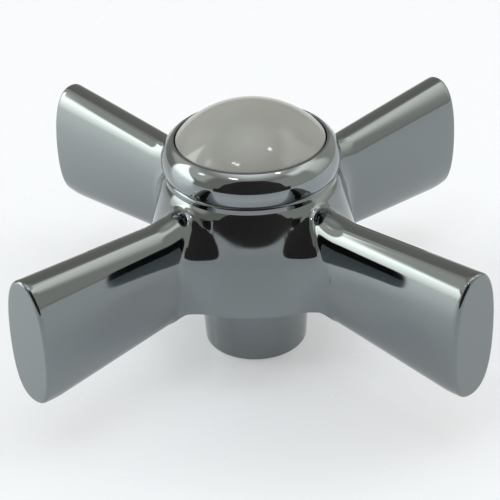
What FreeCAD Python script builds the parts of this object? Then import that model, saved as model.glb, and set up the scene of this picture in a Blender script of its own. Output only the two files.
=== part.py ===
"""Cross tap handle: one plated casting with four flared arms, a screw-in cap and the stem screw.

Frame: millimetres, +Z up along the valve stem, origin at the centre of the boss foot,
arms along +X, +Y, -X and -Y.
"""

import FreeCAD, Part
import math
import os

from FreeCAD import Vector

# Arms. Tops and drops are measured up and down from the hub's flat underside.
arm_reach = 36.65
arm_tip_width = 7.2
arm_root_width = 6.0
arm_root_station = 15.0
arm_tip_top = 13.75
arm_root_top = 12.15
arm_tip_drop = 3.45
arm_root_drop = 1.6
arm_belly_share = 0.48
arm_top_fullness = 1.08
arm_bottom_fullness = 1.05
arm_end_edge = 0.7
arm_blend = 1.6
arm_count = 4

# Hub and boss
hub_height = 14.3
hub_underside_radius = 13.9
hub_wall_bulge = 0.35
hub_top_edge = 0.7
hub_underside_run = 0.9
hub_underside_fade = 0.3
boss_height = 11.3
boss_foot_radius = 6.75
boss_draft = 0.65
boss_edge = 0.4

# Stem socket: a serrated length from the mouth, then a plain relief up to the web
socket_radius = 4.6
socket_grip = 6.5
socket_relief_depth = 4.5
socket_relief_step = 0.4
socket_mouth = 0.4
serration_count = 20
serration_width = 0.32
serration_depth = 0.35
web_thickness = 3.2

# Stem screw with a slotted pan head
screw_radius = 2.4
screw_clearance = 0.25
screw_reach = 3.6
screw_tip = 0.6
screw_head_radius = 4.3
screw_head_height = 3.1
screw_head_edge = 1.2
screw_slot_width = 1.2
screw_slot_depth = 1.4

# Domed button
button_radius = 9.45
button_rim_height = 1.9
button_edge = 0.3
dome_rise = 4.2
spigot_radius = 6.1
spigot_length = 1.2

# Cap ring that holds the button and screws into the hub
button_gap = 0.18
spigot_gap = 0.1
lip_width = 0.3
ring_wall = 1.75
ring_foot_step = 0.35
ring_foot_edge = 0.3
ring_belly_height = 1.6
ring_height = 4.05
ledge_thickness = 1.5
seat_land = 2.6
thread_gap = 0.1
skirt_length = 4.6
skirt_wall = 1.3
skirt_lead = 0.5

# Sizes that follow from the ones above
AXIS = Vector(0, 0, 1)
ORIGIN = Vector(0, 0, 0)
underside_z = boss_height
seam_z = underside_z + hub_height
ring_bore = button_radius + button_gap
ring_belly_radius = ring_bore + ring_wall
ring_foot_radius = ring_belly_radius - ring_foot_step
ring_lip_radius = ring_bore + lip_width
ring_top_z = seam_z + ring_height
button_seat_z = ring_top_z - button_rim_height
hub_top_radius = ring_foot_radius
well_radius = hub_top_radius - seat_land
skirt_radius = well_radius - thread_gap
socket_depth = socket_grip + socket_relief_depth
well_floor_z = socket_depth + web_thickness
blend_room = 2.0 * arm_blend


def at(radius, height):
    """Point of a turned profile, in the XZ plane."""
    return Vector(radius, 0, height)


def line(start, end):
    """Straight edge."""
    return Part.LineSegment(start, end).toShape()


def arc(start, middle, end):
    """Circular edge through three points."""
    return Part.Arc(start, middle, end).toShape()


def chain(points):
    """Straight edges from each point to the next."""
    return [line(a, b) for a, b in zip(points, points[1:])]


def turned(edges):
    """Solid of revolution about Z from edges that close a profile."""
    return Part.Face(Part.Wire(edges)).revolve(ORIGIN, AXIS, 360)


def cylinder(radius, low, high):
    """Upright cylinder on the axis between two heights."""
    return Part.makeCylinder(radius, high - low, at(0, low), AXIS)


def cone(low_radius, high_radius, low, high):
    """Upright frustum on the axis between two heights."""
    return Part.makeCone(low_radius, high_radius, high - low, at(0, low), AXIS)


def rim(shape, height):
    """Outermost circle of a turned solid at a height."""
    real = [e for e in shape.Edges if not e.Degenerated]
    round_edges = [e for e in real if isinstance(e.Curve, Part.Circle)]
    level = [e for e in round_edges if abs(e.Curve.Center.z - height) < 1e-6]
    return max(level, key=lambda e: e.Curve.Radius)


def spread(shape, count):
    """Copies of a shape at equal turns about the axis."""
    copies = []
    for i in range(count):
        copy = shape.copy()
        copy.rotate(ORIGIN, AXIS, 360 * i / count)
        copies.append(copy)
    return copies


def along_arm(root_size, tip_size, station):
    """Size at a distance from the axis, on the straight line from the root to the tip."""
    share = (station - arm_root_station) / (arm_reach - arm_root_station)
    return root_size + (tip_size - root_size) * share


def conic(start, corner, end, fullness):
    """Quarter of an oval between two points, drawn towards its corner by the fullness."""
    curve = Part.BezierCurve()
    curve.setPoles([start, corner, end])
    curve.setWeight(2, fullness)
    return curve.toShape()


def arm_section(station):
    """Closed oval section of an arm at this distance from the axis, fuller above than below."""
    half = along_arm(arm_root_width, arm_tip_width, station) / 2
    top = underside_z + along_arm(arm_root_top, arm_tip_top, station)
    bottom = underside_z - along_arm(arm_root_drop, arm_tip_drop, station)
    belly = bottom + arm_belly_share * (top - bottom)
    low, left, high, right = [
        Vector(station, y, z) for y, z in ((0, bottom), (half, belly), (0, top), (-half, belly))
    ]
    across = Vector(0, half, 0)
    return Part.Wire([
        conic(low, low + across, left, arm_bottom_fullness),
        conic(left, high + across, high, arm_top_fullness),
        conic(high, high - across, right, arm_top_fullness),
        conic(right, low - across, low, arm_bottom_fullness),
    ])


def arm():
    """One arm along +X, from inside the hub to its rounded end."""
    inner_end = well_radius / 2
    bar = Part.makeLoft([arm_section(inner_end), arm_section(arm_reach)], True, True)
    end_face = max(bar.Faces, key=lambda face: face.CenterOfMass.x)
    return bar.makeFillet(arm_end_edge, end_face.Edges)


def hub_wall():
    """Circle that the hub's wall follows: its chord bulged outwards."""
    low = at(hub_underside_radius, underside_z)
    high = at(hub_top_radius, seam_z)
    outward = Vector(high.z - low.z, 0, low.x - high.x).normalize()
    return arc(low, (low + high) * 0.5 + outward * hub_wall_bulge, high).Curve


def wall_point(height):
    """Point of the hub's wall at a height."""
    wall = hub_wall()
    reach = math.sqrt(wall.Radius ** 2 - (height - wall.Center.z) ** 2)
    return at(wall.Center.x + reach, height)


def hub_with_arms():
    """Hub and arms joined by a rolling blend. The wall still runs on above and below."""
    low = underside_z - blend_room
    high = seam_z + blend_room
    wall = [wall_point(z) for z in (low, (low + high) / 2, high)]
    core = turned([arc(*wall)] + chain([wall[2], at(0, high), at(0, low), wall[0]]))
    core.rotate(ORIGIN, AXIS, 180 / arm_count)
    joined = core.multiFuse(spread(arm(), arm_count))
    corners = []
    for edge in joined.Edges:
        kinds = [type(face.Surface) for face in joined.ancestorsOfType(edge, Part.Face)]
        if Part.SurfaceOfRevolution in kinds and Part.BSplineSurface in kinds:
            corners.append(edge)
    return joined.makeFillet(arm_blend, corners)


def above_hub():
    """What the hub's flat top and its rounded edge leave out."""
    wall = hub_wall()
    normal = (at(hub_top_radius, seam_z) - wall.Center).normalize()
    inset = hub_top_edge * (1 - normal.z) / normal.x
    centre = at(hub_top_radius - inset, seam_z - hub_top_edge)
    on_wall = centre + normal * hub_top_edge
    between = centre + (normal + AXIS).normalize() * hub_top_edge
    on_top = centre + AXIS * hub_top_edge
    far = hub_underside_radius + arm_blend
    high = seam_z + 2 * blend_room
    rest = [on_top, at(0, seam_z), at(0, high), at(far, high), at(far, on_wall.z), on_wall]
    return turned([arc(on_wall, between, on_top)] + chain(rest))


def below_hub():
    """What the hub's underside leaves out, running out into the lower edges of the arms."""
    inner = hub_underside_radius + hub_underside_run
    outer = hub_underside_radius + 1.5 * arm_blend
    drop = along_arm(arm_root_drop, arm_tip_drop, outer) + hub_underside_fade
    floor = underside_z - 2 * blend_room
    corner = [at(0, underside_z), at(inner, underside_z), at(outer, underside_z - drop)]
    return turned(chain(corner + [at(outer, floor), at(0, floor), at(0, underside_z)]))


def boss():
    """Lower boss with its draft and its rounded foot, reaching up into the hub."""
    root = underside_z + web_thickness
    slope = boss_draft / boss_height
    solid = cone(boss_foot_radius, boss_foot_radius + slope * root, 0, root)
    return solid.makeFillet(boss_edge, [rim(solid, 0)])


def stem_socket():
    """Hollow for the valve stem: mouth, serrated grip and relief."""
    mouth = cone(socket_radius + socket_mouth, socket_radius, 0, socket_mouth)
    grip = cylinder(socket_radius, 0, socket_depth)
    relief = cylinder(socket_radius + socket_relief_step, socket_grip, socket_depth)
    half = serration_width / 2
    tip = socket_radius + serration_depth
    root = socket_radius - serration_depth
    base = half * (tip - root) / serration_depth
    notch = Part.Face(Part.Wire(chain([at(tip, 0), Vector(root, base, 0), Vector(root, -base, 0), at(tip, 0)])))
    notches = spread(notch.extrude(AXIS * socket_grip), serration_count)
    return mouth.multiFuse([grip, relief] + notches)


def handle_body():
    """The casting: hub, arms and boss, with the cap's well above and the stem's socket below."""
    solid = hub_with_arms().cut(above_hub()).cut(below_hub()).fuse(boss())
    well = cylinder(well_radius, well_floor_z, seam_z + blend_room)
    passage = cylinder(screw_radius + screw_clearance, 0, well_floor_z)
    return solid.cut(well.multiFuse([stem_socket(), passage])).removeSplitter()


def handle_screw():
    """Stem screw: slotted pan head on the web, plain shank into the socket's relief."""
    low = socket_depth - screw_reach
    top = well_floor_z + screw_head_height
    head = cylinder(screw_head_radius, well_floor_z, top)
    head = head.makeFillet(screw_head_edge, [rim(head, top)])
    shank = cylinder(screw_radius, low, well_floor_z)
    shank = shank.makeChamfer(screw_tip, [rim(shank, low)])
    corner = Vector(-screw_head_radius, -screw_slot_width / 2, top - screw_slot_depth)
    slot = Part.makeBox(2 * screw_head_radius, screw_slot_width, screw_slot_depth, corner)
    return head.fuse(shank).cut(slot).removeSplitter()


def cap_ring():
    """Turned cap: bellied bezel, ledge under the button and the skirt that screws into the hub."""
    ledge_hole = spigot_radius + spigot_gap
    ledge_low = button_seat_z - ledge_thickness
    skirt_low = seam_z - skirt_length
    skirt_bore = skirt_radius - skirt_wall
    belly = at(ring_belly_radius, seam_z + ring_belly_height)
    foot = at(ring_foot_radius, seam_z)
    lip = at(ring_lip_radius, ring_top_z)
    inside = [
        lip,
        at(ring_bore, ring_top_z),
        at(ring_bore, button_seat_z),
        at(ledge_hole, button_seat_z),
        at(ledge_hole, ledge_low),
        at(skirt_bore, ledge_low),
        at(skirt_bore, skirt_low),
        at(skirt_radius, skirt_low),
        at(skirt_radius, seam_z),
        foot,
    ]
    solid = turned([arc(foot, belly, lip)] + chain(inside))
    solid = solid.makeFillet(ring_foot_edge, [rim(solid, seam_z)])
    return solid.makeChamfer(skirt_lead, [rim(solid, skirt_low)])


def index_button():
    """Domed button with a spigot that centres it in the cap ring."""
    crown = at(0, ring_top_z + dome_rise)
    edge = at(button_radius, ring_top_z)
    ball = (button_radius ** 2 + dome_rise ** 2) / (2 * dome_rise)
    half_angle = math.asin(button_radius / ball) / 2
    middle = at(ball * math.sin(half_angle), crown.z - ball * (1 - math.cos(half_angle)))
    below = [
        edge,
        at(button_radius, button_seat_z),
        at(spigot_radius, button_seat_z),
        at(spigot_radius, button_seat_z - spigot_length),
        at(0, button_seat_z - spigot_length),
        crown,
    ]
    solid = turned([arc(crown, middle, edge)] + chain(below))
    return solid.makeFillet(button_edge, [rim(solid, ring_top_z)])


def main():
    """Writes one STEP file for each piece."""
    os.makedirs("parts", exist_ok=True)
    for make in (handle_body, handle_screw, cap_ring, index_button):
        solid = make()
        solid.exportStep(f"parts/{make.__name__}.step")
        print(make.__name__, solid.isValid(), len(solid.Solids), round(solid.Volume, 1))


if __name__ == "__main__":
    main()
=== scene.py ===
"""Looks of a cross tap handle: a chromed casting with four arms, its screw cap and its button.

Lengths are millimetres and angles degrees until a mesh, the camera or the sky is made.
The handle stands on its boss at the origin, its axis is +Z, and one arm points along +X.
"""

import logging
import math
from dataclasses import dataclass
from enum import Enum
from typing import Any, Callable

import bmesh
import bpy
import numpy as np
from mathutils import Matrix, Vector


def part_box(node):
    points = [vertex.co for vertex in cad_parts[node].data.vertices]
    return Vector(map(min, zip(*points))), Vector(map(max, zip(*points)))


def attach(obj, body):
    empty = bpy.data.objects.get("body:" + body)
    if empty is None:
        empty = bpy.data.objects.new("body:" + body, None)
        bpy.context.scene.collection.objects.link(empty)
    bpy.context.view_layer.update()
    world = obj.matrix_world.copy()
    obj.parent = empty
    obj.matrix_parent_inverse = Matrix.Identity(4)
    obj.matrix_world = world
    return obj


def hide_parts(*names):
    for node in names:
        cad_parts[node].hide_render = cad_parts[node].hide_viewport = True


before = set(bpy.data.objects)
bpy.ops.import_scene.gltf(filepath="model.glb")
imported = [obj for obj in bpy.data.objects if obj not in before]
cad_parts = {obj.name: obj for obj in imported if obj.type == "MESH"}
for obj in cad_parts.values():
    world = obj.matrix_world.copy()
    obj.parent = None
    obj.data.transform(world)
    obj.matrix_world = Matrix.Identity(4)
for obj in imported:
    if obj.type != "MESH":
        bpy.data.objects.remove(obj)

LOG = logging.getLogger("tap_handle")
MM = 0.001
BODY = "root"
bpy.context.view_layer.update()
Array = np.ndarray
Material = bpy.types.Material
Piece = bpy.types.Object
Socket = bpy.types.NodeSocket
Tree = bpy.types.NodeTree
Triple = tuple[float, float, float]


class Slot(Enum):
    """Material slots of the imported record."""

    CASTING = "chrome_plate"
    CAP = "chrome_ring"
    BUTTON = "button_glaze"
    SCREW = "screw_brass"


# Small tools

def linear(colour: str) -> tuple[float, float, float, float]:
    """Turns an sRGB hex colour into linear light.

    Args:
        colour: six hex digits after a hash sign.
    Returns:
        Linear red, green and blue, and full alpha.
    """
    srgb = np.array([int(colour[start:start + 2], 16) for start in (1, 3, 5)]) / 255.0
    light = np.where(srgb <= 0.04045, srgb / 12.92, ((srgb + 0.055) / 1.055) ** 2.4)
    return (*light.tolist(), 1.0)


def add_node(tree: Tree, kind: str, settings: dict[str | int, Any] | None = None,
             links: dict[str | int, Socket] | None = None) -> bpy.types.Node:
    """Adds one node with its settings and links.

    Args:
        tree: the node tree that takes it.
        kind: Blender's name of the node type.
        settings: values by property name, or by input name or number.
        links: sockets that feed the inputs, by input name or number.
    Returns:
        The new node.
    """
    node = tree.nodes.new(kind)
    for name, value in (settings or {}).items():
        if isinstance(name, int) or name in node.inputs:
            node.inputs[name].default_value = value
        else:
            setattr(node, name, value)
    for name, source in (links or {}).items():
        tree.links.new(source, node.inputs[name])
    return node


def smooth(share: Array) -> Array:
    """Eases 0 to 1 with level ends: 3s squared less 2s cubed, held outside that range."""
    held = np.clip(share, 0.0, 1.0)
    return held * held * (3.0 - 2.0 * held)


def unit(vectors: Array) -> Array:
    """Scales vectors on the last axis to length 1."""
    return vectors / np.linalg.norm(vectors, axis=-1, keepdims=True)


def slope(height: Callable[[Array], Array], points: Array, step: float = 1e-3) -> Array:
    """Gradient of a scalar field by central differences.

    Args:
        height: the field, from points to values.
        points: places, with x, y and z on the last axis.
        step: half the distance between the two samples of each axis.
    Returns:
        The gradient at each place.
    """
    rises = [height(points + axis) - height(points - axis) for axis in np.eye(3) * step]
    return np.stack(rises, axis=-1) / (2.0 * step)


def circle_through(spots: Array) -> tuple[Array, float]:
    """Finds the circle through three points, where the bisectors of its two chords meet.

    Args:
        spots: the three points in order, one a row.
    Returns:
        Its centre and radius.
    """
    chords = 2.0 * np.diff(spots, axis=0)
    centre = np.linalg.solve(chords, np.diff(np.sum(spots ** 2, axis=1)))
    return centre, float(np.linalg.norm(spots[0] - centre))


def arc_through(spots: Array, count: int) -> Array:
    """Points at equal angles on the arc through three points.

    Args:
        spots: the three points in order, one a row.
        count: number of points on the arc.
    Returns:
        The points in order.
    """
    centre, radius = circle_through(spots)
    spokes = spots - centre
    angles = np.unwrap(np.arctan2(spokes[:, 1], spokes[:, 0]))
    sweep = np.linspace(angles[0], angles[2], count)
    return centre + radius * np.stack([np.cos(sweep), np.sin(sweep)], axis=1)


def rounded_outline(corners: list[Triple], steps: int = 6, guard: float = 0.05) -> Array:
    """Outline of a turned shape with its corners rounded.

    Both sides of a corner are cut back by its rounding times the tangent of half the turn. A conic
    whose middle weight is the cosine of half the turn joins the cuts, and that is a circle's arc.
    A guard point on either side of each arc keeps the shading of the flats level. Cuts and guards
    are held to a share of the shorter side, so that they can't meet.

    Args:
        corners: radius, height and rounding of each corner; the two ends are left sharp.
        steps: spans in each rounding.
        guard: distance from a rounding to its guard point.
    Returns:
        Radius and height of the outline's points in order.
    """
    table = np.array(corners)
    spots, rounding = table[:, :2], table[1:-1, 2]
    legs = np.diff(spots, axis=0)
    lengths = np.linalg.norm(legs, axis=1)
    ahead = legs / lengths[:, None]
    bend = np.arccos(np.clip(np.sum(ahead[:-1] * ahead[1:], axis=1), -1.0, 1.0)) / 2.0
    shorter = np.minimum(lengths[:-1], lengths[1:])
    cut = np.minimum(rounding * np.tan(bend), 0.45 * shorter)[:, None]
    corner = spots[1:-1]
    first, last = corner - cut * ahead[:-1], corner + cut * ahead[1:]
    t = np.linspace(0.0, 1.0, steps + 1)[None, :, None]
    pull = 2.0 * np.cos(bend)[:, None, None] * t * (1.0 - t)
    weight = (1.0 - t) ** 2 + pull + t ** 2
    arcs = ((1.0 - t) ** 2 * first[:, None] + pull * corner[:, None] + t ** 2 * last[:, None]) / weight
    room = np.minimum(guard, 0.1 * shorter)[:, None]
    before, after = first - room * ahead[:-1], last + room * ahead[1:]
    rows = np.concatenate([before[:, None], arcs, after[:, None]], axis=1).reshape(-1, 2)
    return np.concatenate([spots[:1], rows, spots[-1:]])


def around(count: int, first: float = 0.0) -> Array:
    """Even azimuths of a full turn in radians, from a first one in degrees."""
    return math.radians(first) + np.arange(count) * (2.0 * math.pi / count)


def turned(outline: Array, azimuths: Array) -> Array:
    """Grid of a turned shape: every outline point is carried round the axis to each azimuth.

    Args:
        outline: radius and height of each row.
        azimuths: angles of the columns in radians.
    Returns:
        Points by row and column.
    """
    return polar(outline[:, :1], azimuths, outline[:, 1:])


def polar(radius: Array, azimuth: Array, height: Array) -> Array:
    """Points at a radius and azimuth about the axis, at a height; the three are spread to one shape."""
    spots = np.broadcast_arrays(radius * np.cos(azimuth), radius * np.sin(azimuth), height)
    return np.stack(spots, axis=-1)


class Shell:
    """Gathers grids of points and welds them into one closed mesh."""

    def __init__(self) -> None:
        """Starts with no points."""
        self.points: list[Array] = []
        self.quads: list[Array] = []
        self.count = 0

    def add(self, grid: Array, ring_rows: bool = False) -> None:
        """Adds a grid whose columns close into a ring.

        Args:
            grid: points by row and column.
            ring_rows: True where the last row joins the first, as round a tube.
        """
        rows, columns = grid.shape[:2]
        index = self.count + np.arange(rows * columns).reshape(rows, columns)
        index = np.concatenate([index, index[:, :1]], axis=1)
        if ring_rows:
            index = np.concatenate([index, index[:1]], axis=0)
        corners = (index[:-1, :-1], index[:-1, 1:], index[1:, 1:], index[1:, :-1])
        self.points.append(grid.reshape(-1, 3))
        self.quads.append(np.stack(corners, axis=-1).reshape(-1, 4))
        self.count += rows * columns

    def weld(self, name: str, crease: float = 30.0) -> Piece:
        """Makes the piece: welds shared rims, turns every face outwards and shades it smooth.

        Args:
            name: name of the piece.
            crease: edges that turn by more than this stay crisp, in degrees.
        Returns:
            The piece, at the origin in metres.
        """
        mesh = bpy.data.meshes.new(name)
        mesh.from_pydata(np.concatenate(self.points) * MM, [], np.concatenate(self.quads))
        work = bmesh.new()
        work.from_mesh(mesh)
        bmesh.ops.remove_doubles(work, verts=work.verts, dist=1e-4 * MM)
        bmesh.ops.recalc_face_normals(work, faces=work.faces)
        work.to_mesh(mesh)
        work.free()
        mesh.polygons.foreach_set("use_smooth", np.ones(len(mesh.polygons), dtype=bool))
        mesh.set_sharp_from_angle(angle=math.radians(crease))
        piece = bpy.data.objects.new(name, mesh)
        bpy.context.scene.collection.objects.link(piece)
        return piece


def fit(piece: Piece, material: Material, node: str | None) -> None:
    """Puts a finished piece on the handle.

    Args:
        piece: the piece.
        material: its finish.
        node: the CAD node that it stands for, or None for an added piece.
    """
    piece.data.materials.append(material)
    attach(piece, BODY)
    if node:
        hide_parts(node)
    LOG.info("%s: %d faces", piece.name, len(piece.data.polygons))


# Finishes

# Most of a noise texture's values lie between these two.
NOISE_SPAN = {"From Min": 0.3, "From Max": 0.7}


class Coat:
    """A material in the making, whose patterns lie in the piece's own space."""

    def __init__(self, name: str, constants: dict[str, Any]) -> None:
        """Starts the material.

        Args:
            name: what the material is and how its surface was made.
            constants: values that are the same all over it, by the shader's socket.
        """
        self.material = bpy.data.materials.new(name)
        self.material.use_nodes = True
        self.tree = self.material.node_tree
        self.shader = self.tree.nodes["Principled BSDF"]
        self.place = add_node(self.tree, "ShaderNodeTexCoord").outputs["Object"]
        for socket, value in constants.items():
            self.shader.inputs[socket].default_value = value

    def fed_by(self, links: dict[str, Socket]) -> Material:
        """Links what varies over the surface to the shader.

        Args:
            links: sources by the shader's socket.
        Returns:
            The finished material.
        """
        for socket, source in links.items():
            self.tree.links.new(source, self.shader.inputs[socket])
        return self.material


@dataclass(frozen=True)
class ChromePlate:
    """Bright chromium plate, buffed by hand on a zinc casting or bright turned on a brass cap.

    The eye gets a dark, slightly cool mirror. Buffing leaves slow waves that bend what it mirrors,
    and a thin haze that comes and goes; the plate doesn't reach into the bore, which stays dull grey.
    """

    name: str
    colour: str = "#7C8284"
    bare_colour: str = "#77767A"
    haze_low: float = 0.035
    haze_high: float = 0.085
    bare_roughness: float = 0.42
    haze_size: float = 5.0
    wave_size: float = 9.0
    wave_height: float = 0.006
    grain_size: float = 0.5
    grain_height: float = 0.0002
    bare_radius: float = 5.3
    bare_fade: float = 0.96

    def build(self) -> Material:
        """Makes the material.

        Returns:
            A metal whose haze and waves lie in the piece's own space, bare near the axis.
        """
        coat = Coat(self.name, {"Metallic": 1.0})
        tree = coat.tree
        level = add_node(tree, "ShaderNodeVectorMath", {"operation": "MULTIPLY", 1: (1.0, 1.0, 0.0)},
                         {0: coat.place})
        radius = add_node(tree, "ShaderNodeVectorMath", {"operation": "LENGTH"}, {0: level.outputs[0]})
        edge = self.bare_radius * MM
        bare = add_node(tree, "ShaderNodeMapRange", {"From Min": edge, "From Max": edge * self.bare_fade},
                        {"Value": radius.outputs["Value"]}).outputs["Result"]
        haze, waves, grain = (
            add_node(tree, "ShaderNodeTexNoise", {"Scale": 1.0 / (size * MM), "Detail": detail},
                     {"Vector": coat.place}).outputs["Fac"]
            for size, detail in ((self.haze_size, 5.0), (self.wave_size, 1.0), (self.grain_size, 3.0)))
        polish = add_node(tree, "ShaderNodeMapRange",
                          NOISE_SPAN | {"To Min": self.haze_low, "To Max": self.haze_high}, {"Value": haze})
        rough = add_node(tree, "ShaderNodeMix", {"data_type": "FLOAT", "B": self.bare_roughness},
                         {"Factor": bare, "A": polish.outputs["Result"]})
        tone = add_node(tree, "ShaderNodeMix", {"data_type": "RGBA", 6: linear(self.colour),
                        7: linear(self.bare_colour)}, {"Factor": bare})
        slow = add_node(tree, "ShaderNodeBump", {"Distance": self.wave_height * MM}, {"Height": waves})
        fine = add_node(tree, "ShaderNodeBump", {"Distance": self.grain_height * MM},
                        {"Height": grain, "Normal": slow.outputs["Normal"]})
        return coat.fed_by({"Base Color": tone.outputs[2], "Roughness": rough.outputs[0],
                            "Normal": fine.outputs["Normal"]})


@dataclass(frozen=True)
class MouldedButton:
    """Urea resin, pressed glossy in a polished mould and left in its own pale stone grey.

    The eye gets an even grey with a clear gloss, faint clouding from the flow of the resin and a very
    slight ripple in the highlights.
    """

    name: str = "urea resin, moulded glossy"
    pale: str = "#999C9B"
    deep: str = "#929594"
    cloud_size: float = 6.0
    gloss_low: float = 0.06
    gloss_high: float = 0.10
    ripple_size: float = 2.5
    ripple_height: float = 0.0012
    index: float = 1.5

    def build(self) -> Material:
        """Makes the material.

        Returns:
            A glossy plastic with clouding, uneven gloss and a faint ripple.
        """
        coat = Coat(self.name, {"IOR": self.index})
        tree = coat.tree
        cloud, ripple = (
            add_node(tree, "ShaderNodeTexNoise", {"Scale": 1.0 / (size * MM), "Detail": detail},
                     {"Vector": coat.place}).outputs["Fac"]
            for size, detail in ((self.cloud_size, 4.0), (self.ripple_size, 2.0)))
        tone = add_node(tree, "ShaderNodeMix", {"data_type": "RGBA", 6: linear(self.deep),
                        7: linear(self.pale)}, {"Factor": cloud})
        gloss = add_node(tree, "ShaderNodeMapRange",
                         NOISE_SPAN | {"To Min": self.gloss_low, "To Max": self.gloss_high},
                         {"Value": cloud})
        bump = add_node(tree, "ShaderNodeBump", {"Distance": self.ripple_height * MM}, {"Height": ripple})
        return coat.fed_by({"Base Color": tone.outputs[2], "Roughness": gloss.outputs["Result"],
                            "Normal": bump.outputs["Normal"]})


@dataclass(frozen=True)
class TurnedBrass:
    """Free-cutting brass, turned from bar: yellow metal with fine rings left by the tool.

    The rings of the real feed are too fine to show, so they are drawn 0.2 mm apart.
    """

    name: str = "brass, turned from bar"
    bright: str = "#CDA65A"
    dull: str = "#A88343"
    ring_spacing: float = 0.2
    ring_height: float = 0.004
    stain_size: float = 2.0
    rough_low: float = 0.22
    rough_high: float = 0.38

    def build(self) -> Material:
        """Makes the material.

        Returns:
            A yellow metal with turning rings along the axis and patches of tarnish.
        """
        coat = Coat(self.name, {"Metallic": 1.0})
        tree = coat.tree
        stain = add_node(tree, "ShaderNodeTexNoise", {"Scale": 1.0 / (self.stain_size * MM), "Detail": 5.0},
                         {"Vector": coat.place}).outputs["Fac"]
        tone = add_node(tree, "ShaderNodeMix", {"data_type": "RGBA", 6: linear(self.dull),
                        7: linear(self.bright)}, {"Factor": stain})
        rough = add_node(tree, "ShaderNodeMapRange", {"To Min": self.rough_high, "To Max": self.rough_low},
                         {"Value": stain})
        # The wave texture repeats 20 / (2 pi) times a unit at scale 1.
        rings = add_node(tree, "ShaderNodeTexWave", {"bands_direction": "Z", "Distortion": 0.4,
                         "Scale": 2.0 * math.pi / (20.0 * self.ring_spacing * MM)}, {"Vector": coat.place})
        bump = add_node(tree, "ShaderNodeBump", {"Distance": self.ring_height * MM},
                        {"Height": rings.outputs["Fac"]})
        return coat.fed_by({"Base Color": tone.outputs[2], "Roughness": rough.outputs["Result"],
                            "Normal": bump.outputs["Normal"]})


@dataclass(frozen=True)
class SatinBoard:
    """Melamine board with a satin press finish: pale, even, and shiny only at a low angle.

    The eye gets a plain pale table whose far side picks up a little of the window's light.
    """

    name: str = "melamine board, satin pressed"
    colour: str = "#D6DBE4"
    shade: str = "#D5DAE3"
    mottle_size: float = 0.8
    gloss_low: float = 0.26
    gloss_high: float = 0.28
    own_light: float = 0.285

    def build(self) -> Material:
        """Makes the material.

        Returns:
            A pale satin board with a faint mottle, and a little light of its own where it is seen.
        """
        coat = Coat(self.name, {"Emission Color": linear("#FFFFFF")})
        tree = coat.tree
        mottle = add_node(tree, "ShaderNodeTexNoise",
                          {"Scale": 1.0 / (self.mottle_size * MM), "Detail": 3.0},
                          {"Vector": coat.place}).outputs["Fac"]
        tone = add_node(tree, "ShaderNodeMix", {"data_type": "RGBA", 6: linear(self.shade),
                        7: linear(self.colour)}, {"Factor": mottle})
        gloss = add_node(tree, "ShaderNodeMapRange", {"To Min": self.gloss_low, "To Max": self.gloss_high},
                         {"Value": mottle})
        ray = add_node(tree, "ShaderNodeLightPath").outputs
        seen = ray["Is Camera Ray"]
        for kind in ("Is Glossy Ray", "Is Transmission Ray"):
            seen = add_node(tree, "ShaderNodeMath", {"operation": "MAXIMUM"},
                            {0: seen, 1: ray[kind]}).outputs[0]
        light = add_node(tree, "ShaderNodeMath", {"operation": "MULTIPLY", 1: self.own_light}, {0: seen})
        return coat.fed_by({"Base Color": tone.outputs[2], "Roughness": gloss.outputs["Result"],
                            "Emission Strength": light.outputs[0]})


@dataclass(frozen=True)
class DarkFelt:
    """Wool felt, pressed and dyed: dark, matt, with a soft nap that shows as a faint mottle."""

    name: str = "wool felt, dyed dark"
    colour: str = "#5C5A58"
    shade: str = "#484644"
    nap_size: float = 8.0
    roughness: float = 1.0
    sheen: float = 0.1

    def build(self) -> Material:
        """Makes the material.

        Returns:
            A dark matt cloth.
        """
        coat = Coat(self.name, {"Roughness": self.roughness, "Specular IOR Level": self.sheen})
        nap = add_node(coat.tree, "ShaderNodeTexNoise",
                       {"Scale": 1.0 / (self.nap_size * MM), "Detail": 3.0}, {"Vector": coat.place})
        tone = add_node(coat.tree, "ShaderNodeMix", {"data_type": "RGBA", 6: linear(self.shade),
                        7: linear(self.colour)}, {"Factor": nap.outputs["Fac"]})
        return coat.fed_by({"Base Color": tone.outputs[2]})


# Sub-assemblies

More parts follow.
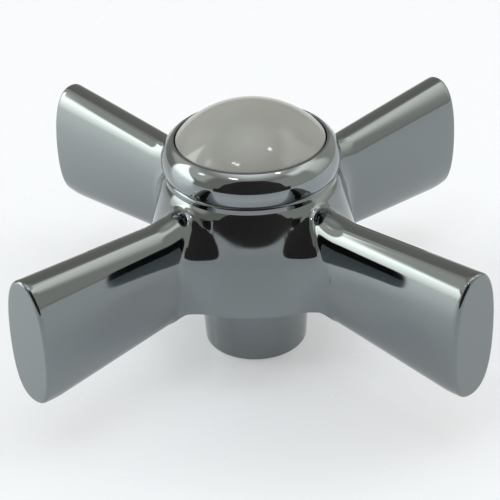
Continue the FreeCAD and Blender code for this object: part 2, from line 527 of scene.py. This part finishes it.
@dataclass
class Casting:
    """The chromed casting: four arms that grow out of a round hub, over a boss with a stem socket."""

    reach: float
    seam: float
    finish: ChromePlate
    arms: int = 4

    # Arms: sections are given at the root station and at the tip, heights from the hub's underside
    root_station: float = 15.0
    root_width: float = 6.0
    tip_width: float = 7.2
    root_top: float = 12.15
    tip_top: float = 13.75
    root_drop: float = 1.78
    tip_drop: float = 3.45
    belly_share: float = 0.48
    top_fullness: float = 1.08
    tip_fullness: float = 0.98
    bottom_fullness: float = 1.05
    end_edge: float = 0.42
    knuckle_rise: float = 0.55
    knuckle_run: tuple[float, float] = (17.2, 12.8)
    tip_lift: float = 0.45
    tip_run: float = 3.0

    # Hub wall, with the neck that runs up to the rim below the cap
    underside: float = 11.3
    foot_radius: float = 13.9
    rim_radius: float = 11.06
    top_radius: float = 11.03
    bulge: float = 0.35
    rim_height: float = 0.95
    rim_edge: float = 0.7
    neck_height: float = 1.1
    neck_limit: float = 1.5

    # Hollows between the arms and the hub
    hollow_top: float = 0.6
    hollow_side: float = 3.5
    hollow_low: float = 2.8
    hollow_heights: Triple = (11.0, 18.5, 24.6)
    hollow_station: float = 20.5

    # Underside, which runs down to the arms' lower edges
    run_start: float = 14.4
    run_pull: float = 0.55
    low_edge: float = 0.35
    search_radius: float = 20.0

    # Cap well, screw passage, socket and boss
    well_radius: float = 8.43
    well_floor: float = 14.2
    screw_hole: float = 2.65
    socket_top: float = 11.0
    relief_radius: float = 5.0
    grip: float = 6.5
    socket_radius: float = 4.6
    mouth: float = 0.4
    boss_foot: float = 6.75
    boss_draft: float = 0.65
    boss_edge: float = 0.4
    boss_root: float = 8.3
    serrations: int = 20
    serration_width: float = 0.44
    serration_depth: float = 0.35

    # Columns of the arm's grid: half its crown, one flank and half its keel
    crown_columns: int = 30
    flank_columns: int = 24
    keel_columns: int = 30
    shoulder_share: float = 1.1
    trace_points: int = 2001

    # Rows of the grids, and the steps in which points settle on the skin
    face_spread: tuple[float, ...] = (0.0, 0.15, 0.35, 0.6, 0.85, 0.97)
    end_rows: int = 9
    shaft_rows: int = 28
    root_rows: int = 46
    low_rows: int = 8
    floor_rows: int = 15
    settle_steps: int = 40
    settle_share: float = 0.9
    crease: float = 26.0

    def arm(self, x: Array) -> tuple[Array, Array, Array, Array]:
        """Half width, crown, keel and belly heights of the arm, straight lines from root to tip.

        The crown eases up into a knuckle at the hub, and the keel lifts at the tip with the square of
        the distance along its run.

        Args:
            x: distance from the axis.
        Returns:
            The four sizes at each distance.
        """
        share = (x - self.root_station) / (self.reach - self.root_station)
        half = (self.root_width + (self.tip_width - self.root_width) * share) / 2.0
        top = self.underside + self.root_top + (self.tip_top - self.root_top) * share
        keel = self.underside - self.root_drop - (self.tip_drop - self.root_drop) * share
        belly = keel + self.belly_share * (top - keel)
        out, home = self.knuckle_run
        top = top + self.knuckle_rise * smooth((out - x) / (out - home))
        keel = keel + self.tip_lift * np.maximum(1.0 - (self.reach - x) / self.tip_run, 0.0) ** 2
        return half, top, keel, belly

    def fullness(self, x: Array, upper: Array) -> Array:
        """Weight of the section's conic quarters; an ellipse's would be the root of a half.

        The upper quarters grow rounder with the square of the distance from the root.

        Args:
            x: distance from the axis.
            upper: True above the belly.
        Returns:
            The weight at each place.
        """
        share = np.clip((x - self.root_station) / (self.reach - self.root_station), 0.0, 1.0)
        top = self.top_fullness + (self.tip_fullness - self.top_fullness) * share ** 2
        return np.where(upper, top, self.bottom_fullness)

    def section(self, x: Array, q: Array, side: Array) -> Array:
        """Points on an arm's skin, of two conic quarters on either side.

        A quarter is a weighted quadratic curve from the belly to the crown or keel, whose middle
        point is the corner of the box round that quarter.

        Args:
            x: distance from the axis.
            q: place round the section: 0 at the crown, 1 at the belly and 2 at the keel.
            side: +1 or -1 for the side of the arm.
        Returns:
            The points.
        """
        half, top, keel, belly = self.arm(x)
        upper = q <= 1.0
        t = np.abs(1.0 - q)
        pull = 2.0 * self.fullness(x, upper) * t * (1.0 - t)
        weight = (1.0 - t) ** 2 + pull + t ** 2
        y = side * half * ((1.0 - t) ** 2 + pull) / weight
        z = belly + (np.where(upper, top, keel) - belly) * (pull + t ** 2) / weight
        return np.stack(np.broadcast_arrays(x, y, z), axis=-1)

    def scale(self, points: Array) -> Array:
        """How far out of the arm's section a point lies, by the scale of the section through it.

        With across and up as shares of the quarter's box, the conic's equation is a quadratic in the
        scale, and this is its larger root less 1, so it is 0 on the skin.

        Args:
            points: places by x, y and z.
        Returns:
            The scale less 1.
        """
        half, top, keel, belly = self.arm(points[..., 0])
        rise = points[..., 2] - belly
        upper = rise >= 0.0
        across = np.abs(points[..., 1]) / half
        up = np.abs(rise) / np.where(upper, top - belly, belly - keel)
        k = 4.0 * self.fullness(points[..., 0], upper) ** 2
        total = across + up
        root = np.sqrt(np.maximum(k * k * total ** 2 - 4.0 * k * (k - 1.0) * across * up, 0.0))
        return ((k - 2.0) * total + root) / (2.0 * (k - 1.0)) - 1.0

    def wall(self, z: Array) -> Array:
        """Radius of the hub's wall: a bulged arc from foot to seam, drawn in by the neck under the rim.

        Args:
            z: heights.
        Returns:
            The radius at each height.
        """
        foot, top = np.array([self.foot_radius, self.underside]), np.array([self.top_radius, self.seam])
        across = unit(np.array([top[1] - foot[1], foot[0] - top[0]]))
        centre, radius = circle_through(np.stack([foot, (foot + top) / 2.0 + self.bulge * across, top]))
        arc = centre[0] + np.sqrt(np.maximum(radius ** 2 - (z - centre[1]) ** 2, 0.0))
        lip = self.seam - self.rim_height
        neck = centre[0] + math.sqrt(radius ** 2 - (lip - centre[1]) ** 2) - self.rim_radius
        share = np.clip((z - lip + self.neck_height) / self.neck_height, 0.0, self.neck_limit)
        return arc - neck * share ** 2

    def skin(self, points: Array) -> Array:
        """Distance out of the casting near the +X arm: arm and hub wall joined by a hollow round.

        Where both distances are under the hollow's radius R, it is R less the length of the two
        shortfalls from R, which is a rolling ball's hollow; elsewhere it is the smaller distance.

        Args:
            points: places by x, y and z.
        Returns:
            The distance, below 0 inside.
        """
        arm = self.scale(points) / np.linalg.norm(slope(self.scale, points), axis=-1)
        z = points[..., 2]
        step = 0.01
        lean = (self.wall(z + step) - self.wall(z - step)) / (2.0 * step)
        hub = (np.hypot(points[..., 0], points[..., 1]) - self.wall(z)) / np.sqrt(1.0 + lean ** 2)
        low, middle, high = self.hollow_heights
        ball = self.hollow_low + (self.hollow_side - self.hollow_low) * smooth((z - low) / (middle - low))
        ball = ball + (self.hollow_top - self.hollow_side) * smooth((z - middle) / (high - middle))
        inside = np.hypot(np.maximum(ball - arm, 0.0), np.maximum(ball - hub, 0.0))
        return np.maximum(ball, np.minimum(arm, hub)) - inside

    def under(self, radius: Array) -> Array:
        """Height of the underside: flat, then dropping with the square of the way past the run's start."""
        return self.underside - self.run_pull * np.maximum(radius - self.run_start, 0.0) ** 2

    def low_rim(self, azimuth: Array, lift: float) -> Array:
        """Radius at which the skin meets the underside, found by halving the span that holds it.

        Args:
            azimuth: angles from the +X arm in radians.
            lift: height above the underside at which it is taken.
        Returns:
            The radius at each azimuth.
        """
        inner, outer = (np.full(azimuth.shape, end) for end in (self.well_radius, self.search_radius))
        for _ in range(self.settle_steps):
            middle = (inner + outer) / 2.0
            within = self.skin(polar(middle, azimuth, self.under(middle) + lift)) < 0.0
            inner, outer = np.where(within, middle, inner), np.where(within, outer, middle)
        return inner

    def loop(self) -> tuple[Array, Array, Array]:
        """Columns of one arm's grid, a ring from the crown down one flank, over the keel and back.

        Returns:
            The place q round the section, the side, and the points of the ring that ends the hub's quarter.
        """
        eighth = math.pi / self.arms
        lip = self.seam - self.rim_height
        keel_turn = np.linspace(eighth, 0.0, self.keel_columns + 1)
        keel_radius = self.low_rim(keel_turn, self.low_edge)
        keel_height = self.under(keel_radius) + self.low_edge
        crown_turn = np.linspace(0.0, eighth, self.crown_columns, endpoint=False)
        flank_height = np.linspace(lip, keel_height[0], self.flank_columns, endpoint=False)
        turn = np.concatenate([crown_turn, np.full(self.flank_columns, eighth), keel_turn])
        height = np.concatenate([np.full(self.crown_columns, lip), flank_height, keel_height])
        radius = np.concatenate([self.wall(height[:-self.keel_columns - 1]), keel_radius])
        # Columns lie at even lengths along the section's round crown, its flank and its round keel.
        fine = np.linspace(0.0, 2.0, self.trace_points)
        trace = self.section(np.full(fine.shape, self.hollow_station), fine, np.ones(fine.shape))
        length = np.concatenate([[0.0], np.cumsum(np.linalg.norm(np.diff(trace, axis=0), axis=1))])
        shoulder = self.shoulder_share * self.root_width / 2.0
        marks = np.array([0.0, shoulder, length[-1] - shoulder, length[-1]])
        counts = np.cumsum([0, self.crown_columns, self.flank_columns, self.keel_columns])
        q = np.interp(np.interp(np.arange(counts[-1] + 1), counts, marks), length, fine)
        side = np.where(np.arange(2 * counts[-1]) <= counts[-1], 1.0, -1.0)
        mirror = np.concatenate([np.arange(counts[-1] + 1), np.arange(counts[-1] - 1, 0, -1)])
        ring = polar(radius[mirror], side * turn[mirror], height[mirror])
        return q[mirror], side, ring

    def sector(self) -> Array:
        """Grid of the +X arm and its quarter of the hub, from the middle of the arm's end to the hub.

        The end is flat with a rounded edge, the shaft's rows are sections of the arm, and past the
        hollow's start each column follows a chord to the hub's ring. Each point on the chord slides
        onto the skin along a direction that turns from the arm's normal to the hub's.

        Returns:
            Points by row and column.
        """
        q, side, ring = self.loop()
        rim = self.section(np.full(q.shape, self.reach - self.end_edge), q, side)
        along = unit(np.roll(rim, -1, axis=0) - np.roll(rim, 1, axis=0))
        outward = np.stack([np.zeros(q.shape), along[:, 2], -along[:, 1]], axis=1)
        outward = outward * np.sign(np.sum(outward * (rim - rim.mean(axis=0)), axis=1, keepdims=True))
        angle = np.linspace(math.pi / 2.0, 0.0, self.end_rows)[:, None, None]
        turn = (np.cos(angle) - 1.0) * outward + np.sin(angle) * np.array([1.0, 0.0, 0.0])
        edge = rim + self.end_edge * turn
        middle = edge[0].mean(axis=0)
        face = middle + np.array(self.face_spread)[:, None, None] * (edge[0] - middle)
        stations = np.linspace(self.reach - self.end_edge, self.hollow_station, self.shaft_rows)[1:, None]
        shaft = self.section(np.broadcast_to(stations, (len(stations), len(q))), q, side)
        first = self.section(np.full(q.shape, self.hollow_station), q, side)
        share = np.linspace(0.0, 1.0, self.root_rows)[1:-1, None, None]
        chord = first + share * (ring - first)
        normal = unit(unit(slope(self.skin, first)) * (1.0 - share) + unit(slope(self.skin, ring)) * share)
        slide = np.zeros(chord.shape[:2])
        for _ in range(self.settle_steps):
            slide = slide - self.settle_share * self.skin(chord + slide[..., None] * normal)
        root = chord + slide[..., None] * normal
        return np.concatenate([face, edge, shaft, root, ring[None]])

    def core(self, azimuths: Array) -> Array:
        """Grid of everything turned: rim, cap well, screw passage, serrated socket and boss.

        The serrations are notches whose depth falls straight from the middle to either side.

        Args:
            azimuths: angles of the columns in radians.
        Returns:
            Points by row and column, from the rim down through the middle and up the boss.
        """
        corners = [
            (self.rim_radius, self.seam - self.rim_height, 0.0),
            (self.rim_radius, self.seam, self.rim_edge),
            (self.well_radius, self.seam, 0.25),
            (self.well_radius, self.well_floor, 0.5),
            (self.screw_hole, self.well_floor, 0.15),
            (self.screw_hole, self.socket_top, 0.1),
            (self.relief_radius, self.socket_top, 0.3),
            (self.relief_radius, self.grip, 0.1),
            (self.socket_radius, self.grip, 0.08),
            (self.socket_radius, self.mouth, 0.05),
            (self.socket_radius + self.mouth, 0.0, 0.08),
            (self.boss_foot, 0.0, self.boss_edge),
            (self.boss_foot + self.boss_draft, self.underside, 0.6),
            (self.boss_root, self.underside, 0.0),
        ]
        outline = rounded_outline(corners)
        grid = turned(outline, azimuths)
        pitch = 2.0 * math.pi / self.serrations
        off = np.abs((azimuths + pitch / 2.0) % pitch - pitch / 2.0) * self.socket_radius
        notch = self.serration_depth * np.maximum(1.0 - off / self.serration_width, 0.0)
        gripping = np.isclose(outline[:, 0], self.socket_radius, atol=0.02) & (outline[:, 1] < self.grip)
        spokes = np.stack([np.cos(azimuths), np.sin(azimuths), np.zeros(azimuths.shape)], axis=1)
        return grid + gripping[:, None, None] * (notch[:, None] * spokes)[None]

    def floor(self, azimuths: Array) -> Array:
        """Grid of the underside, from the rounded lower edge in to the foot of the boss.

        The edge is a quadratic curve from the skin to the underside, round the line where they meet.

        Args:
            azimuths: angles of the columns in radians.
        Returns:
            Points by row and column.
        """
        quarter = 2.0 * math.pi / self.arms
        folded = np.abs((azimuths + quarter / 2.0) % quarter - quarter / 2.0)
        high, meet = self.low_rim(folded, self.low_edge), self.low_rim(folded, 0.0)
        inner = meet - self.low_edge
        t = np.linspace(0.0, 1.0, self.low_rows)[:, None]
        radius = (1.0 - t) ** 2 * high + 2.0 * t * (1.0 - t) * meet + t ** 2 * inner
        height = (1.0 - t) ** 2 * (self.under(high) + self.low_edge)
        height = height + 2.0 * t * (1.0 - t) * self.under(meet) + t ** 2 * self.under(inner)
        share = np.linspace(0.0, 1.0, self.floor_rows)[1:, None]
        flat = inner + share * (self.boss_root - inner)
        return polar(np.concatenate([radius, flat]), azimuths, np.concatenate([height, self.under(flat)]))

    def build(self) -> Piece:
        """Makes the casting's mesh: the arm's grid four times, and the turned and lower grids between.

        Returns:
            The casting.
        """
        shell = Shell()
        sector = self.sector()
        for number in range(self.arms):
            shell.add(sector @ np.array(Matrix.Rotation(2.0 * math.pi * number / self.arms, 3, "Z")).T)
        azimuths = around(2 * self.crown_columns * self.arms, -180.0 / self.arms)
        shell.add(self.core(azimuths))
        shell.add(self.floor(azimuths))
        return shell.weld("casting", self.crease)

    def dress(self) -> None:
        """Builds the casting, plates it and puts it in place of the CAD casting."""
        fit(self.build(), self.finish.build(), "handle_body")


@dataclass
class Cap:
    """The chromed screw cap: a bellied ring that holds the button, with a threaded skirt below it."""

    foot: float
    top: float
    skirt_low: float
    belly_radius: float
    finish: ChromePlate
    foot_radius: float = 11.03
    foot_edge: float = 0.3
    belly_height: float = 1.6
    lip_radius: float = 9.93
    lip_edge: float = 0.09
    bore: float = 9.63
    seat: float = 27.75
    hole: float = 6.2
    ledge_low: float = 26.25
    skirt_bore: float = 7.03
    skirt_radius: float = 8.33
    skirt_lead: float = 0.5
    thread_pitch: float = 1.0
    thread_depth: float = 0.3
    thread_gap: float = 0.4
    thread_runout: float = 0.5
    thread_rows: int = 64
    belly_rows: int = 40
    belly_start: int = 4
    columns: int = 192

    def build(self) -> Piece:
        """Makes the cap's mesh: one closed outline turned, with a thread cut into the skirt.

        The thread's radius falls and rises evenly once a pitch, and its phase follows the azimuth.

        Returns:
            The cap.
        """
        foot = np.array([self.foot_radius, self.foot])
        belly = np.array([self.belly_radius, self.foot + self.belly_height])
        lip = np.array([self.lip_radius, self.top])
        arc = arc_through(np.stack([foot, belly, lip]), self.belly_rows)[self.belly_start:]
        start, end = self.skirt_low + self.skirt_lead, self.foot - self.thread_gap
        heights = np.linspace(start, end, self.thread_rows)
        skirt = np.stack([np.full(heights.shape, self.skirt_radius), heights], axis=1)
        under = rounded_outline([(*skirt[-1], 0.0), (self.skirt_radius, self.foot, 0.08),
                                 (*foot, self.foot_edge), (*arc[0], 0.0)])
        inner = rounded_outline([(*arc[-2], 0.0), (*arc[-1], self.lip_edge),
                                 (self.bore, self.top, self.lip_edge), (self.bore, self.seat, 0.15),
                                 (self.hole, self.seat, 0.12), (self.hole, self.ledge_low, 0.12),
                                 (self.skirt_bore, self.ledge_low, 0.2),
                                 (self.skirt_bore, self.skirt_low, 0.12),
                                 (self.skirt_radius - self.skirt_lead, self.skirt_low, 0.08),
                                 (*skirt[0], 0.0)])
        outline = np.concatenate([skirt[:-1], under, arc[1:-2], inner[:-1]])
        azimuths = around(self.columns)
        turn = (outline[:, 1:] / self.thread_pitch - azimuths / (2.0 * math.pi)) % 1.0
        room = np.minimum(outline[:, 1] - start, end - outline[:, 1])
        on_skirt = np.isclose(outline[:, 0], self.skirt_radius) * smooth(room / self.thread_runout)
        cut = self.thread_depth * np.abs(2.0 * turn - 1.0) * on_skirt[:, None]
        shell = Shell()
        shell.add(polar(outline[:, :1] - cut, azimuths, outline[:, 1:]), ring_rows=True)
        return shell.weld("screw_cap")

    def dress(self) -> None:
        """Builds the cap, plates it and puts it in place of the CAD ring."""
        fit(self.build(), self.finish.build(), "cap_ring")


@dataclass
class Button:
    """The domed index button that lies loose in the cap, with a spigot that centres it."""

    low: float
    top: float
    radius: float
    finish: MouldedButton
    seat: float = 27.75
    rim: float = 29.65
    rim_edge: float = 0.3
    spigot_radius: float = 6.1
    dome_share: float = 0.955
    dome_rows: int = 40
    columns: int = 192

    def build(self) -> Piece:
        """Makes the button's mesh: a dome that is part of a ball, over a short rim and a spigot, turned.

        Returns:
            The button.
        """
        ball = (self.radius ** 2 + (self.top - self.rim) ** 2) / (2.0 * (self.top - self.rim))
        lean = np.linspace(0.0, math.asin(self.radius / ball) * self.dome_share, self.dome_rows)
        dome = np.stack([ball * np.sin(lean), self.top - ball * (1.0 - np.cos(lean))], axis=1)
        below = rounded_outline([(*dome[-1], 0.0), (self.radius, self.rim, self.rim_edge),
                                 (self.radius, self.seat, 0.2), (self.spigot_radius, self.seat, 0.1),
                                 (self.spigot_radius, self.low, 0.2), (0.0, self.low, 0.0)])
        shell = Shell()
        shell.add(turned(np.concatenate([dome[:-1], below]), around(self.columns)))
        return shell.weld("button")

    def dress(self) -> None:
        """Builds the button, gives it its resin and puts it in place of the CAD button."""
        fit(self.build(), self.finish.build(), "index_button")


@dataclass
class Screw:
    """The brass screw that holds the handle on its stem: the CAD screw, and a thread on its shank."""

    low: float
    finish: TurnedBrass
    shank_radius: float = 2.4
    tip: float = 0.9
    length: float = 2.6
    pitch: float = 0.75
    ridge: float = 0.22
    root_depth: float = 0.05
    foot_share: float = 0.48
    crest_share: float = 0.08
    end_share: float = 0.02
    steps_a_turn: int = 72

    def build(self) -> Piece:
        """Makes the thread: a four-sided ridge carried along a helix, with ends that run out.

        Returns:
            The thread.
        """
        turns = self.length / self.pitch
        angle = np.linspace(0.0, 2.0 * math.pi * turns, int(self.steps_a_turn * turns))[:, None]
        ends = smooth(np.minimum(angle, angle[-1] - angle) / math.pi)
        rise = (self.ridge + self.root_depth) * ends
        out = self.shank_radius - self.root_depth + rise * np.array([0.0, 1.0, 1.0, 0.0])
        wide = np.array([-self.foot_share, -self.crest_share, self.crest_share, self.foot_share])
        height = self.low + self.tip + self.pitch * angle / (2.0 * math.pi)
        height = height + wide * self.pitch * np.maximum(ends, self.end_share)
        grid = polar(out, angle, height)
        middle = grid.mean(axis=1, keepdims=True)
        tube = np.concatenate([middle[:1].repeat(4, axis=1), grid, middle[-1:].repeat(4, axis=1)])
        shell = Shell()
        shell.add(tube)
        return shell.weld("screw_thread")

    def dress(self) -> None:
        """Adds the thread and gives it and the CAD screw their brass."""
        material = self.finish.build()
        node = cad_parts["handle_screw"]
        node.data.materials.clear()
        node.data.materials.append(material)
        fit(self.build(), material, None)


# Studio

def faded(tree: Tree, spans: list[tuple[Socket, float, float]]) -> Socket:
    """Product of fades, each of which eases from 0 at a dark value to 1 at a light one.

    Args:
        tree: the sky's nodes.
        spans: what each fade follows, with its dark and its light value.
    Returns:
        The product.
    """
    product, *others = [
        add_node(tree, "ShaderNodeMapRange", {"interpolation_type": "SMOOTHSTEP", "From Min": dark,
                 "From Max": light}, {"Value": value}).outputs["Result"]
        for value, dark, light in spans]
    for other in others:
        product = add_node(tree, "ShaderNodeMath", {"operation": "MULTIPLY"},
                           {0: product, 1: other}).outputs[0]
    return product


@dataclass(frozen=True)
class Glow:
    """A round patch of light in the sky, such as a lamp or a white ceiling.

    Attributes:
        towards: direction in which it lies.
        core: angle from its middle to which it is even.
        edge: angle at which it has faded out.
        light: linear colour that it adds.
    """

    towards: Triple
    core: float
    edge: float
    light: Triple

    def amount(self, tree: Tree, towards: Socket) -> Socket:
        """Fades with the cosine of the angle from the middle.

        Args:
            tree: the sky's nodes.
            towards: the direction looked in.
        Returns:
            1 inside the glow and 0 outside.
        """
        middle = tuple(Vector(self.towards).normalized())
        facing = add_node(tree, "ShaderNodeVectorMath", {"operation": "DOT_PRODUCT", 1: middle},
                          {0: towards}).outputs["Value"]
        return faded(tree, [(facing, *(math.cos(math.radians(angle)) for angle in (self.edge, self.core)))])


@dataclass(frozen=True)
class Window:
    """An upright patch of light in the sky, between two bearings; its foot is level and its top may slope.

    Attributes:
        bearing: direction of its middle, anticlockwise from +X.
        half_width: bearing from the middle to either side.
        low: elevation at which it starts.
        full: elevation from which it is full.
        high: elevation of its upper edge.
        soft: angle to either side of the other edges over which it fades.
        light: linear colour that it adds.
        fall: how steeply the upper edge falls with the bearing, 1 for 45 degrees.
    """

    bearing: float
    half_width: float
    low: float
    full: float
    high: float
    soft: float
    light: Triple
    fall: float = 0.0

    def amount(self, tree: Tree, towards: Socket) -> Socket:
        """Product of three fades: past either side, below the lower edge and above the upper one.

        Args:
            tree: the sky's nodes.
            towards: the direction looked in.
        Returns:
            1 inside the window and 0 outside.
        """
        turn, wide, soft = (math.radians(angle) for angle in (self.bearing, self.half_width, self.soft))
        low, full, high = (math.radians(angle) for angle in (self.low, self.full, self.high))
        flat = add_node(tree, "ShaderNodeVectorMath", {"operation": "MULTIPLY", 1: (1.0, 1.0, 0.0)},
                        {0: towards})
        level = add_node(tree, "ShaderNodeVectorMath", {"operation": "NORMALIZE"}, {0: flat.outputs[0]})
        ahead = (math.cos(turn), math.sin(turn), 0.0)
        aslope = (-self.fall * math.sin(turn), self.fall * math.cos(turn), 1.0)
        facing, slant = (
            add_node(tree, "ShaderNodeVectorMath", {"operation": "DOT_PRODUCT", 1: line},
                     {0: way}).outputs["Value"]
            for line, way in ((ahead, level.outputs[0]), (aslope, towards)))
        rise = add_node(tree, "ShaderNodeSeparateXYZ", None, {0: towards}).outputs["Z"]
        return faded(tree, [(facing, math.cos(wide + soft), math.cos(max(wide - soft, 0.0))),
                            (rise, math.sin(low), math.sin(full)),
                            (slant, math.sin(high + soft), math.sin(high - soft))])


def stand(name: str, points: Array, quads: Array, material: Material) -> Piece:
    """Puts a plain sheet on the stage.

    Args:
        name: name of the sheet.
        points: its corners in millimetres.
        quads: four corner numbers for each face.
        material: its finish.
    Returns:
        The sheet.
    """
    mesh = bpy.data.meshes.new(name)
    mesh.from_pydata(points * MM, [], quads)
    mesh.materials.append(material)
    sheet = bpy.data.objects.new(name, mesh)
    bpy.context.scene.collection.objects.link(sheet)
    return sheet


@dataclass
class Studio:
    """Camera, board floor, a dark felt screen behind the camera, and soft light."""

    # The camera stands as the photograph's did: a long lens, looking down between two arms.
    focal_pixels: float = 1566.9
    image_pixels: float = 500.0
    sensor: float = 36.0
    distance: float = 203.54
    azimuth: float = 46.571
    elevation: float = 30.895
    roll: float = 1.887
    aim_right: float = -0.50
    aim_up: float = -2.60
    pivot_height: float = 16.0
    floor_size: float = 4000.0

    # The screen is part of a tube round the handle; its bearings are from the camera's own.
    screen_radius: float = 195.0
    screen_half: float = 46.0
    screen_skirt: float = 55.0
    screen_shoulder: float = 38.0
    screen_height: float = 120.0
    screen_hump: float = 30.0
    screen_rise: float = 180.0
    screen_lift: float = 8.0
    screen_dip: float = 0.6
    screen_ease: float = 5.0
    screen_columns: int = 115

    # Light: an even warm room, a window to the left, a pale wall to the right and lamps overhead.
    ambient: Triple = (0.45, 0.43, 0.385)
    patches: tuple[Glow | Window, ...] = (
        Window(-138.0, 19.0, -18.0, 25.0, 29.8, 2.5, (3.8, 3.9, 3.65), 0.85),
        Window(-144.4, 38.0, 14.0, 26.0, 53.0, 6.0, (0.62, 0.61, 0.55)),
        Window(57.0, 35.0, 36.0, 54.0, 57.0, 7.0, (1.75, 1.72, 1.58)),
        Window(58.0, 14.0, -6.0, 37.0, 44.0, 6.0, (0.90, 0.88, 0.81)),
        Window(48.0, 60.0, -8.0, 6.0, 50.0, 8.0, (0.26, 0.26, 0.235)),
        Glow((0.0, 0.0, 1.0), 0.0, 17.0, (0.4, 0.4, 0.4)),
        Glow((0.0, 0.0, 1.0), 0.0, 28.0, (0.5, 0.5, 0.5)),
        Glow((0.0, 0.0, 1.0), 0.0, 41.0, (0.7, 0.7, 0.68)),
        Window(-80.3, 9.0, 61.0, 62.2, 63.2, 0.6, (22.0, 22.5, 24.0)),
        Glow((0.276, 0.193, 0.942), 1.2, 2.4, (18.0, 18.0, 18.0)),
        Glow((-0.424, -0.579, 0.697), 2.0, 5.0, (2.5, 2.5, 2.5)),
    )

    def camera(self) -> None:
        """Sets the camera: on a ball round the pivot, aimed a little off it, and rolled."""
        turn, lift, roll = (math.radians(angle) for angle in (self.azimuth, self.elevation, self.roll))
        away = Vector((math.sin(turn) * math.cos(lift), -math.cos(turn) * math.cos(lift), math.sin(lift)))
        right = Vector((math.cos(turn), math.sin(turn), 0.0))
        pivot = Vector((0.0, 0.0, self.pivot_height))
        eye = pivot + self.distance * away
        aim = pivot + self.aim_right * right + self.aim_up * away.cross(right)
        back = (eye - aim).normalized()
        right = Vector((0.0, 0.0, 1.0)).cross(back).normalized()
        up = back.cross(right)
        rolled_right = math.cos(roll) * right - math.sin(roll) * up
        rolled_up = math.sin(roll) * right + math.cos(roll) * up
        data = bpy.data.cameras.new("camera")
        data.sensor_width = self.sensor
        data.lens = self.sensor * self.focal_pixels / self.image_pixels
        data.clip_start = 1.0 * MM
        data.clip_end = 10.0
        camera = bpy.data.objects.new("camera", data)
        facing = Matrix((rolled_right, rolled_up, back)).transposed().to_4x4()
        camera.matrix_world = Matrix.Translation(eye * MM) @ facing
        bpy.context.scene.collection.objects.link(camera)
        bpy.context.scene.camera = camera

    def floor(self) -> None:
        """Lays the board under the boss."""
        corners = np.array([(-1.0, -1.0, 0.0), (1.0, -1.0, 0.0), (1.0, 1.0, 0.0), (-1.0, 1.0, 0.0)])
        stand("board_floor", corners * self.floor_size / 2.0, np.arange(4)[None], SatinBoard().build())

    def screen(self) -> None:
        """Hangs the felt screen round the camera's side, seen only in the chrome and casting no shade.

        Its top is low at either end, eases up at the shoulders, and rises in the middle by a bell that
        falls with the fourth power of the bearing. It hangs clear of the floor, lower in the middle.
        """
        bearing = np.linspace(-self.screen_half, self.screen_half, self.screen_columns)
        shoulder = smooth((self.screen_shoulder - np.abs(bearing)) / self.screen_ease + 0.5)
        bell = np.exp(-(bearing / self.screen_hump) ** 4)
        top = self.screen_skirt + (self.screen_height - self.screen_skirt) * shoulder
        top = top + self.screen_rise * bell
        foot = self.screen_lift * (1.0 - self.screen_dip * bell)
        grid = polar(self.screen_radius, np.radians(self.azimuth - 90.0 + bearing), np.stack([foot, top]))
        low, high = np.arange(2 * self.screen_columns).reshape(2, -1)
        quads = np.stack([low[1:], low[:-1], high[:-1], high[1:]], axis=1)
        screen = stand("felt_screen", grid.reshape(-1, 3), quads, DarkFelt().build())
        screen.visible_camera = False
        screen.visible_diffuse = False
        screen.visible_shadow = False

    def sky(self) -> None:
        """Makes the soft light: an even warm room, with patches that fade at their edges."""
        world = bpy.data.worlds.new("studio")
        world.use_nodes = True
        bpy.context.scene.world = world
        tree = world.node_tree
        towards = add_node(tree, "ShaderNodeTexCoord").outputs["Generated"]
        light = add_node(tree, "ShaderNodeCombineXYZ", dict(zip("XYZ", self.ambient))).outputs[0]
        for patch in self.patches:
            part = add_node(tree, "ShaderNodeVectorMath", {"operation": "SCALE", 0: patch.light},
                            {"Scale": patch.amount(tree, towards)})
            light = add_node(tree, "ShaderNodeVectorMath", {"operation": "ADD"},
                             {0: light, 1: part.outputs[0]}).outputs[0]
        tree.links.new(light, tree.nodes["Background"].inputs["Color"])

    def build(self) -> None:
        """Sets the camera, floor, screen, light and plain view transform."""
        self.camera()
        self.floor()
        self.screen()
        self.sky()
        bpy.context.scene.view_settings.view_transform = "Standard"


def corner(node: str, which: int) -> Triple:
    """Lowest (0) or highest (1) corner of a CAD node's box, in millimetres."""
    return tuple(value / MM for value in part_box(node)[which])


def main() -> None:
    """Builds the handle's pieces from the frame, then the studio, and keeps both boxes."""
    logging.basicConfig(level=logging.INFO, format="%(name)s %(message)s")
    casting_high, cap_high = corner("handle_body", 1), corner("cap_ring", 1)
    button_high, button_low = corner("index_button", 1), corner("index_button", 0)
    casting_plate = ChromePlate("chromium plate, buffed zinc casting")
    cap_plate = ChromePlate("chromium plate, bright turned brass", colour="#878E91", wave_height=0.0025,
                            bare_radius=7.6)
    Casting(reach=casting_high[0], seam=casting_high[2], finish=casting_plate).dress()
    Cap(foot=casting_high[2], top=cap_high[2], skirt_low=corner("cap_ring", 0)[2],
        belly_radius=cap_high[0], finish=cap_plate).dress()
    Button(low=button_low[2], top=button_high[2], radius=button_high[0], finish=MouldedButton()).dress()
    Screw(low=corner("handle_screw", 0)[2], finish=TurnedBrass()).dress()
    Studio().build()


if __name__ == "__main__":
    main()
